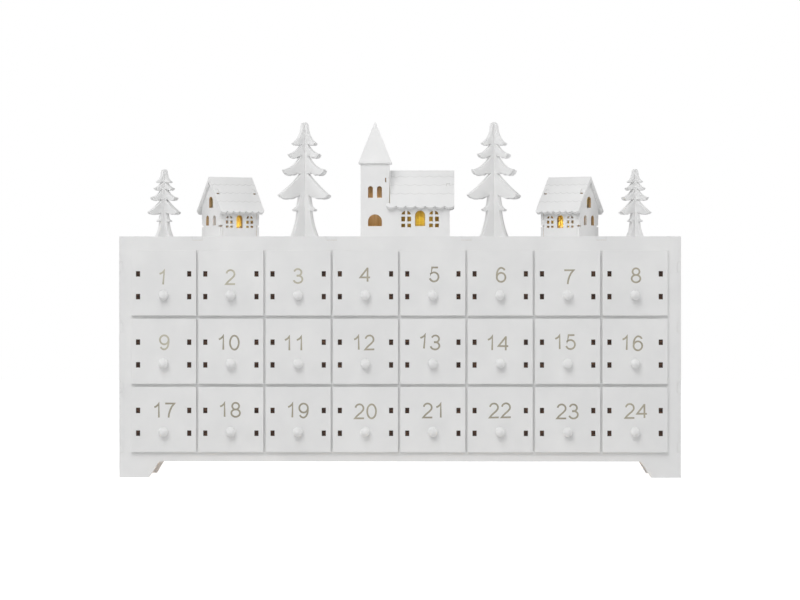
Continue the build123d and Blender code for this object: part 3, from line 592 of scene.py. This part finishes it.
def digitStrokes():
    six = [
        bow(0.31, 0.72, 0.25, 0.28, 22, 90, 8) + bow(0.31, 0.46, 0.28, 0.54, 90, 190, 14)[1:],
        bow(0.31, 0.32, 0.28, 0.32, 180, 540, 36),
    ]
    twoFoot = [(0.42, 0.44), (0.26, 0.29), (0.12, 0.15), (0.01, 0.0), (0.60, 0.0)]
    return {
        "0": [bow(0.31, 0.5, 0.285, 0.5, 90, 450, 44)],
        "1": [[(0.08, 0.73), (0.20, 0.79), (0.31, 0.89), (0.37, 1.0), (0.37, 0.0)]],
        "2": [bow(0.30, 0.715, 0.26, 0.285, 170, -28, 22) + twoFoot],
        "3": [
            bow(0.28, 0.755, 0.235, 0.245, 165, -90, 26) + [(0.20, 0.51)],
            [(0.20, 0.525)] + bow(0.29, 0.265, 0.285, 0.265, 90, -165, 28),
        ],
        "4": [[(0.47, 0.0), (0.47, 1.0)], [(0.47, 0.97), (0.0, 0.30), (0.63, 0.30)]],
        "5": [[(0.55, 1.0), (0.16, 1.0), (0.075, 0.50)] + bow(0.29, 0.325, 0.29, 0.325, 138, -162, 28)],
        "6": six,
        "7": [[(0.0, 1.0), (0.60, 1.0), (0.44, 0.79), (0.33, 0.54), (0.255, 0.27), (0.225, 0.0)]],
        "8": [bow(0.31, 0.76, 0.225, 0.24, 90, 450, 32), bow(0.31, 0.265, 0.28, 0.265, 90, 450, 36)],
        "9": [[(numberLook["digitWidth"] - x, 1.0 - z) for x, z in stroke] for stroke in six],
    }


def numberFinish(ink):
    finish, tree, shader = newFinish(ink + "Number")
    wear = noise(tree, objectPlace(tree), numberLook["wear"], 3.0)
    darkest, palest = numberLook[ink]
    color = colorBand(tree, wear, [(0.3, darkest), (0.7, palest)])
    gloss = numberBand(tree, wear, *numberLook["gloss"])
    feed(tree, shader, {"Base Color": color, "Roughness": gloss})
    return finish


# a stroke is a flat ridge with slanted sides along its path, closed or with two ends
def addStroke(path, points, faces, proud):
    half, slant = numberLook["stroke"] / 2, numberLook["slant"]
    ring = (path[0] - path[-1]).length < tolerance["join"]
    if ring:
        path = path[:-1]
    first, count = len(points), len(path)
    for i, here in enumerate(path):
        before = path[i - 1] if i or ring else here
        after = path[(i + 1) % count] if i < count - 1 or ring else here
        incoming, outgoing = (here - before).normalized(), (after - here).normalized()
        along = (incoming + outgoing).normalized()
        bend = max(numberLook["sharpest"], along.dot(outgoing if outgoing.length else incoming))
        aside = Vector((-along.y, along.x)) / bend
        for offset, out in ((half, 0.0), (half - slant, proud), (slant - half, proud), (-half, 0.0)):
            spot = here + aside * offset
            points.append((spot.x, -out, spot.y))
    for i in range(count if ring else count - 1):
        a, b = first + 4 * i, first + 4 * ((i + 1) % count)
        faces.extend((a + k, a + k + 1, b + k + 1, b + k) for k in range(3))
    if not ring:
        faces.append((first, first + 1, first + 2, first + 3))
        last = first + 4 * (count - 1)
        faces.append((last + 3, last + 2, last + 1, last))


def addNumber(number, x, y, z):
    text = str(number)
    sideways, upward, lean = numberPlaces[number]
    rise = numberLook["height"] - numberLook["stroke"]
    half = numberLook["digitWidth"] / 2
    width = numberLook["advance"] * (len(text) - 1) + rise * numberLook["digitWidth"]
    points, faces = [], []
    for index, digit in enumerate(text):
        middle = index * numberLook["advance"] + rise * half - width / 2
        for layer, stroke in enumerate(strokesOf[digit]):
            across = numberLook["widen"] * rise
            path = [Vector((middle + (u - half) * across, (v - 0.5) * rise)) for u, v in stroke]
            addStroke(path, points, faces, numberLook["proud"] + layer * numberLook["step"])
    spot = Matrix.Translation((x + sideways * mm, y, z + upward * mm))
    turn = spot @ Matrix.Rotation(math.radians(lean), 4, "Y")
    points = [tuple(turn @ Vector(p)) for p in points]
    ink = "plain"
    if number in numberLook["faintOnes"]:
        ink = "faint"
    if number in numberLook["strongOnes"]:
        ink = "strong"
    newPiece(f"number{number:02d}", points, faces, [numberInks[ink]], f"drawer_{number:02d}")


numberInks = {ink: numberFinish(ink) for ink in ("plain", "faint", "strong")}
strokesOf = digitStrokes()
for number, place in drawerPlaces.items():
    addNumber(number, *place)
print("numbers drawn")


# trees: two sheets halved over one another
treeLook = {"largeEdge": 0.0002, "smallEdge": 0.00014}
treePaint = paintFinish("treePaint", grainUpright, "village")
for side in ("left", "right"):
    for size in ("small", "large"):
        for sheet in ("outer", "inner"):
            name = side + size.title() + "Tree" + sheet.title() + "Sheet"
            boardsFrom(f"{side}_{size}_tree_{sheet}_sheet", name, treePaint, treeLook[size + "Edge"])
print("trees built")


# walls of the houses and the church, bare on their inner sides except for the cross wall
wallLook = {
    "edge": 0.0002,
    "houseTurn": 33,
    "roomMiddle": 18 * mm,
    "towerMiddle": 28 * mm,
    "naveMiddle": 15 * mm,
}
lampSpots = []
for points, faces in looseParts("village_lamps"):
    low, high = spread(points)
    lampSpots.append(((low.x + high.x) / 2, (low.y + high.y) / 2))
lampSpots.sort()
leftX, rightX = lampSpots[0][0], lampSpots[3][0]  # the outer lamps stand in the middle of the houses
roomZ = topZ + wallLook["roomMiddle"]
towerCentre = (*lampSpots[1], topZ + wallLook["towerMiddle"])
naveCentre = (wallLook["naveMiddle"], villageY, roomZ)
wallPieces = (
    ("left_house_walls", "leftHouseWalls", "leftHousePaint", {"centre": (leftX, villageY, roomZ)}),
    ("right_house_walls", "rightHouseWalls", "rightHousePaint", {"centre": (rightX, villageY, roomZ)}),
    ("church_front_wall", "churchFrontWall", "churchFrontPaint", {"toward": (0, 1, 0)}),
    ("church_cross_wall", "churchCrossWall", "crossWallPaint", {}),
    ("church_nave_walls", "churchNaveWalls", "navePaint", {"centre": naveCentre}),
    ("church_tower_walls", "churchTowerWalls", "towerPaint", {"centre": towerCentre}),
)
for node, name, paint, bare in wallPieces:
    boardsFrom(node, name, paintFinish(paint, grainUpright, "village", **bare), wallLook["edge"])
dress("church_spire", paintFinish("spirePaint", grainUpright, "village", rounding=wallLook["edge"]))
print("walls built")


# roofs: flat sheets with scalloped rows engraved across them
roofLook = {
    "pitch": 54.0,
    "houseSize": (40.0 * mm, 40.4 * mm),  # span from eave to eave, and length
    "naveSize": (42.2 * mm, 54.7 * mm),
    "houseRows": (0.21, 0.46, 0.71),
    "naveRows": (0.155, 0.395, 0.64),
    "scallops": 7,
    "hang": 1.2 * mm,
    "line": (0.10 * mm, 0.36 * mm),
    "deepest": 0.8,
    "wear": (130.0, 130.0, 130.0),
    "edge": 0.25 * mm,
}


def roofRows(spot, lean, span, length, shares):
    slope = math.radians(roofLook["pitch"])
    run = span / 2 / math.cos(slope)
    pitch = length / roofLook["scallops"]
    back = math.radians(-lean)
    shift = Matrix.Rotation(back, 3, "Z") @ -Vector((spot, villageY, topZ))
    fullLine, lineEnd = roofLook["line"]

    def engraved(tree, place):
        laid = put(tree, "ShaderNodeMapping", {"Vector": place, "Rotation": (0, 0, back), "Location": shift})
        parts = put(tree, "ShaderNodeSeparateXYZ", {"Vector": laid.outputs["Vector"]})
        fallen = calculate(tree, "DIVIDE", calculate(tree, "ABSOLUTE", parts.outputs["Y"]), math.cos(slope))
        wear = stretchedNoise(tree, place, roofLook["wear"], 2.0)
        faint = numberBand(tree, wear, 0.0, roofLook["deepest"])
        lines = None
        for index, share in enumerate(shares):
            moved = calculate(tree, "ADD", parts.outputs["X"], 0.5 * index * pitch)
            wave = calculate(tree, "SINE", calculate(tree, "MULTIPLY", moved, math.pi / pitch))
            hang = calculate(tree, "MULTIPLY", calculate(tree, "ABSOLUTE", wave), roofLook["hang"])
            height = calculate(tree, "SUBTRACT", calculate(tree, "SUBTRACT", fallen, hang), share * run)
            away = calculate(tree, "ABSOLUTE", height)
            inputs = {"Value": away, "From Min": fullLine, "From Max": lineEnd, "To Min": 1.0, "To Max": 0.0}
            thin = put(tree, "ShaderNodeMapRange", inputs).outputs["Result"]
            lines = calculate(tree, "MAXIMUM", lines, thin) if lines else thin
        return calculate(tree, "MULTIPLY", lines, faint)

    return engraved


roofs = (
    ("left_house_roof", "leftHouseRoofPaint", leftX, wallLook["houseTurn"], "house"),
    ("right_house_roof", "rightHouseRoofPaint", rightX, -wallLook["houseTurn"], "house"),
    ("church_nave_roof", "naveRoofPaint", 0.0, 0, "nave"),
)
for node, paint, spot, lean, kind in roofs:
    rows = roofRows(spot, lean, *roofLook[kind + "Size"], roofLook[kind + "Rows"])
    dress(node, paintFinish(paint, grainLevel, "village", engraved=rows, rounding=roofLook["edge"]))
print("roofs dressed")


# lamps, wires and battery case; each glow has its place from its lamp in mm, turn, colour and watts
lampLook = {
    "color": (1.0, 0.80, 0.16),
    "strength": 1.1,
    "lens": ((0.95, 0.72, 0.34), (1.0, 0.86, 0.55)),
    "haze": 500.0,
    "gloss": (0.15, 0.3),
    "softness": 0.0015,
    "glows": (
        ((14.0, 7.0, 11.0), wallLook["houseTurn"], (1.0, 0.92, 0.24), 0.0021),
        ((0.0, 2.0, 26.0), 0, (1.0, 0.93, 0.80), 0.0024),
        ((0.6, 8.0, 13.5), 0, (1.0, 0.88, 0.13), 0.0022),
        ((-14.0, 7.0, 11.0), -wallLook["houseTurn"], (1.0, 0.92, 0.24), 0.0021),
    ),
}


def lampFinish():
    finish, tree, shader = newFinish("warmLamp")
    haze = noise(tree, objectPlace(tree), lampLook["haze"], 2.0)
    deep, pale = lampLook["lens"]
    color = colorBand(tree, haze, [(0.3, deep), (0.7, pale)])
    gloss = numberBand(tree, haze, *lampLook["gloss"])
    feed(tree, shader, {"Base Color": color, "Roughness": gloss})
    shader.inputs["Emission Color"].default_value = (*lampLook["color"], 1)
    shader.inputs["Emission Strength"].default_value = lampLook["strength"]
    return finish


whitePlastic = mouldedFinish("casePlastic", (0.80, 0.80, 0.78), (0.76, 0.76, 0.74), (0.38, 0.52))
blackPlastic = mouldedFinish("switchPlastic", (0.035, 0.035, 0.036), (0.025, 0.025, 0.026), (0.35, 0.5))
cellJacket = mouldedFinish("cellJacket", (0.10, 0.11, 0.12), (0.07, 0.075, 0.08), (0.25, 0.35), 300.0)
steel = mouldedFinish("contactSteel", (0.62, 0.61, 0.58), (0.50, 0.49, 0.47), (0.25, 0.4), 1500.0, 1.0)
wireSleeve = mouldedFinish("wireSleeve", (0.75, 0.75, 0.72), (0.68, 0.68, 0.66), (0.4, 0.5))
dress("village_lamps", lampFinish())
dress("lamp_wires", wireSleeve)
dress("battery_case", whitePlastic)
dress("battery_cover", whitePlastic)
dress("switch_slider", blackPlastic)
dress("battery_cells", cellJacket)
dress("battery_contacts", steel)
dress("case_screws", steel)
for index, (offset, lean, color, watts) in enumerate(lampLook["glows"]):
    glow = bpy.data.lights.new(f"lampGlow{index + 1}", "POINT")
    glow.energy = watts
    glow.color = color
    glow.shadow_soft_size = lampLook["softness"]
    holder = bpy.data.objects.new(glow.name, glow)
    aside = Matrix.Rotation(math.radians(lean), 3, "Z") @ Vector(offset) * mm
    holder.location = Vector((*lampSpots[index], topZ)) + aside
    show(holder)
print("lamps and case dressed")


# stage: pale floor, soft light from the upper left, white surround; lights have spot, aim, watts and size
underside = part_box("bottom_panel")[0][2]
footSpot = (0, frontY + 0.006, underside - 0.002)  # a low strip that brightens the rear feet
footAim = (0, frontY + 0.08, 0.004)
stageLook = {
    "floorSize": 6.0,
    "floorColor": (0.86, 0.86, 0.86),
    "floorWhite": 0.84,
    "floorFibre": 300.0,
    "floorGloss": (0.8, 0.95),
    "surround": 0.32,
    "lights": (
        ("keyLight", (-0.9, -2.7, 2.5), (0, 0, 0.12), 28.0, (2.0, 2.0)),
        ("skyLight", (-0.3, -1.6, 1.9), (0, 0, 0.12), 18.5, (1.8, 1.8)),
        ("lowLight", (-0.1, -2.6, 0.2), (0, 0, 0.02), 2.2, (0.8, 0.8)),
        ("footLight", footSpot, footAim, 0.085, (0.40, 0.003)),
        ("sideLight1", (-2.5, -0.35, 0.7), (0, 0, 0.2), 9.0, (1.0, 1.0)),
        ("sideLight2", (2.5, -0.35, 0.7), (0, 0, 0.2), 11.0, (1.0, 1.0)),
    ),
}


def seenDirectly(tree):
    ray = put(tree, "ShaderNodeLightPath")
    seen = calculate(tree, "MAXIMUM", ray.outputs["Is Camera Ray"], ray.outputs["Is Glossy Ray"])
    return calculate(tree, "MAXIMUM", seen, ray.outputs["Is Transmission Ray"])


def addFloor():
    half = stageLook["floorSize"] / 2
    mesh = bpy.data.meshes.new("floor")
    corners = [(-half, -half, 0), (half, -half, 0), (half, half, 0), (-half, half, 0)]
    mesh.from_pydata(corners, [], [(0, 1, 2, 3)])
    floor = bpy.data.objects.new("floor", mesh)
    show(floor)
    finish, tree, shader = newFinish("floorPaper")
    fibre = noise(tree, objectPlace(tree), stageLook["floorFibre"], 3.0)
    white = numberBand(tree, seenDirectly(tree), 0.0, stageLook["floorWhite"])
    gloss = numberBand(tree, fibre, *stageLook["floorGloss"])
    feed(tree, shader, {"Roughness": gloss, "Emission Strength": white})
    shader.inputs["Base Color"].default_value = (*stageLook["floorColor"], 1)
    shader.inputs["Specular IOR Level"].default_value = 0.0
    shader.inputs["Emission Color"].default_value = (1, 1, 1, 1)
    mesh.materials.append(finish)


def addSurround():
    world = bpy.data.worlds.new("whiteSurround")
    world.use_nodes = True
    tree = world.node_tree
    plain = tree.nodes["Background"]
    plain.inputs["Color"].default_value = (1, 1, 1, 1)
    strength = numberBand(tree, seenDirectly(tree), stageLook["surround"], 1.0)
    tree.links.new(strength, plain.inputs["Strength"])
    bpy.context.scene.world = world


def pointAt(holder, spot, aim):
    holder.location = spot
    holder.rotation_euler = (Vector(aim) - Vector(spot)).to_track_quat("-Z", "Y").to_euler()
    show(holder)


addFloor()
addSurround()
for name, spot, aim, watts, (width, height) in stageLook["lights"]:
    softbox = bpy.data.lights.new(name, "AREA")
    softbox.energy = watts
    softbox.shape = "RECTANGLE"
    softbox.size = width
    softbox.size_y = height
    pointAt(bpy.data.objects.new(name, softbox), spot, aim)

# camera: a long product lens, a little right of the middle and above the middle row
cameraLook = {
    "spot": (0.041, frontY - 2.888, 0.152),
    "aim": (0.00014, frontY, 0.1424),
    "lens": 162.33,
    "sensor": 36.0,
    "farthest": 50.0,
}
lens = bpy.data.cameras.new("productCamera")
lens.lens = cameraLook["lens"]
lens.sensor_width = cameraLook["sensor"]
lens.clip_end = cameraLook["farthest"]
viewer = bpy.data.objects.new("productCamera", lens)
pointAt(viewer, cameraLook["spot"], cameraLook["aim"])
bpy.context.scene.camera = viewer
bpy.context.scene.view_settings.view_transform = "Standard"
print("stage, lights and camera set")
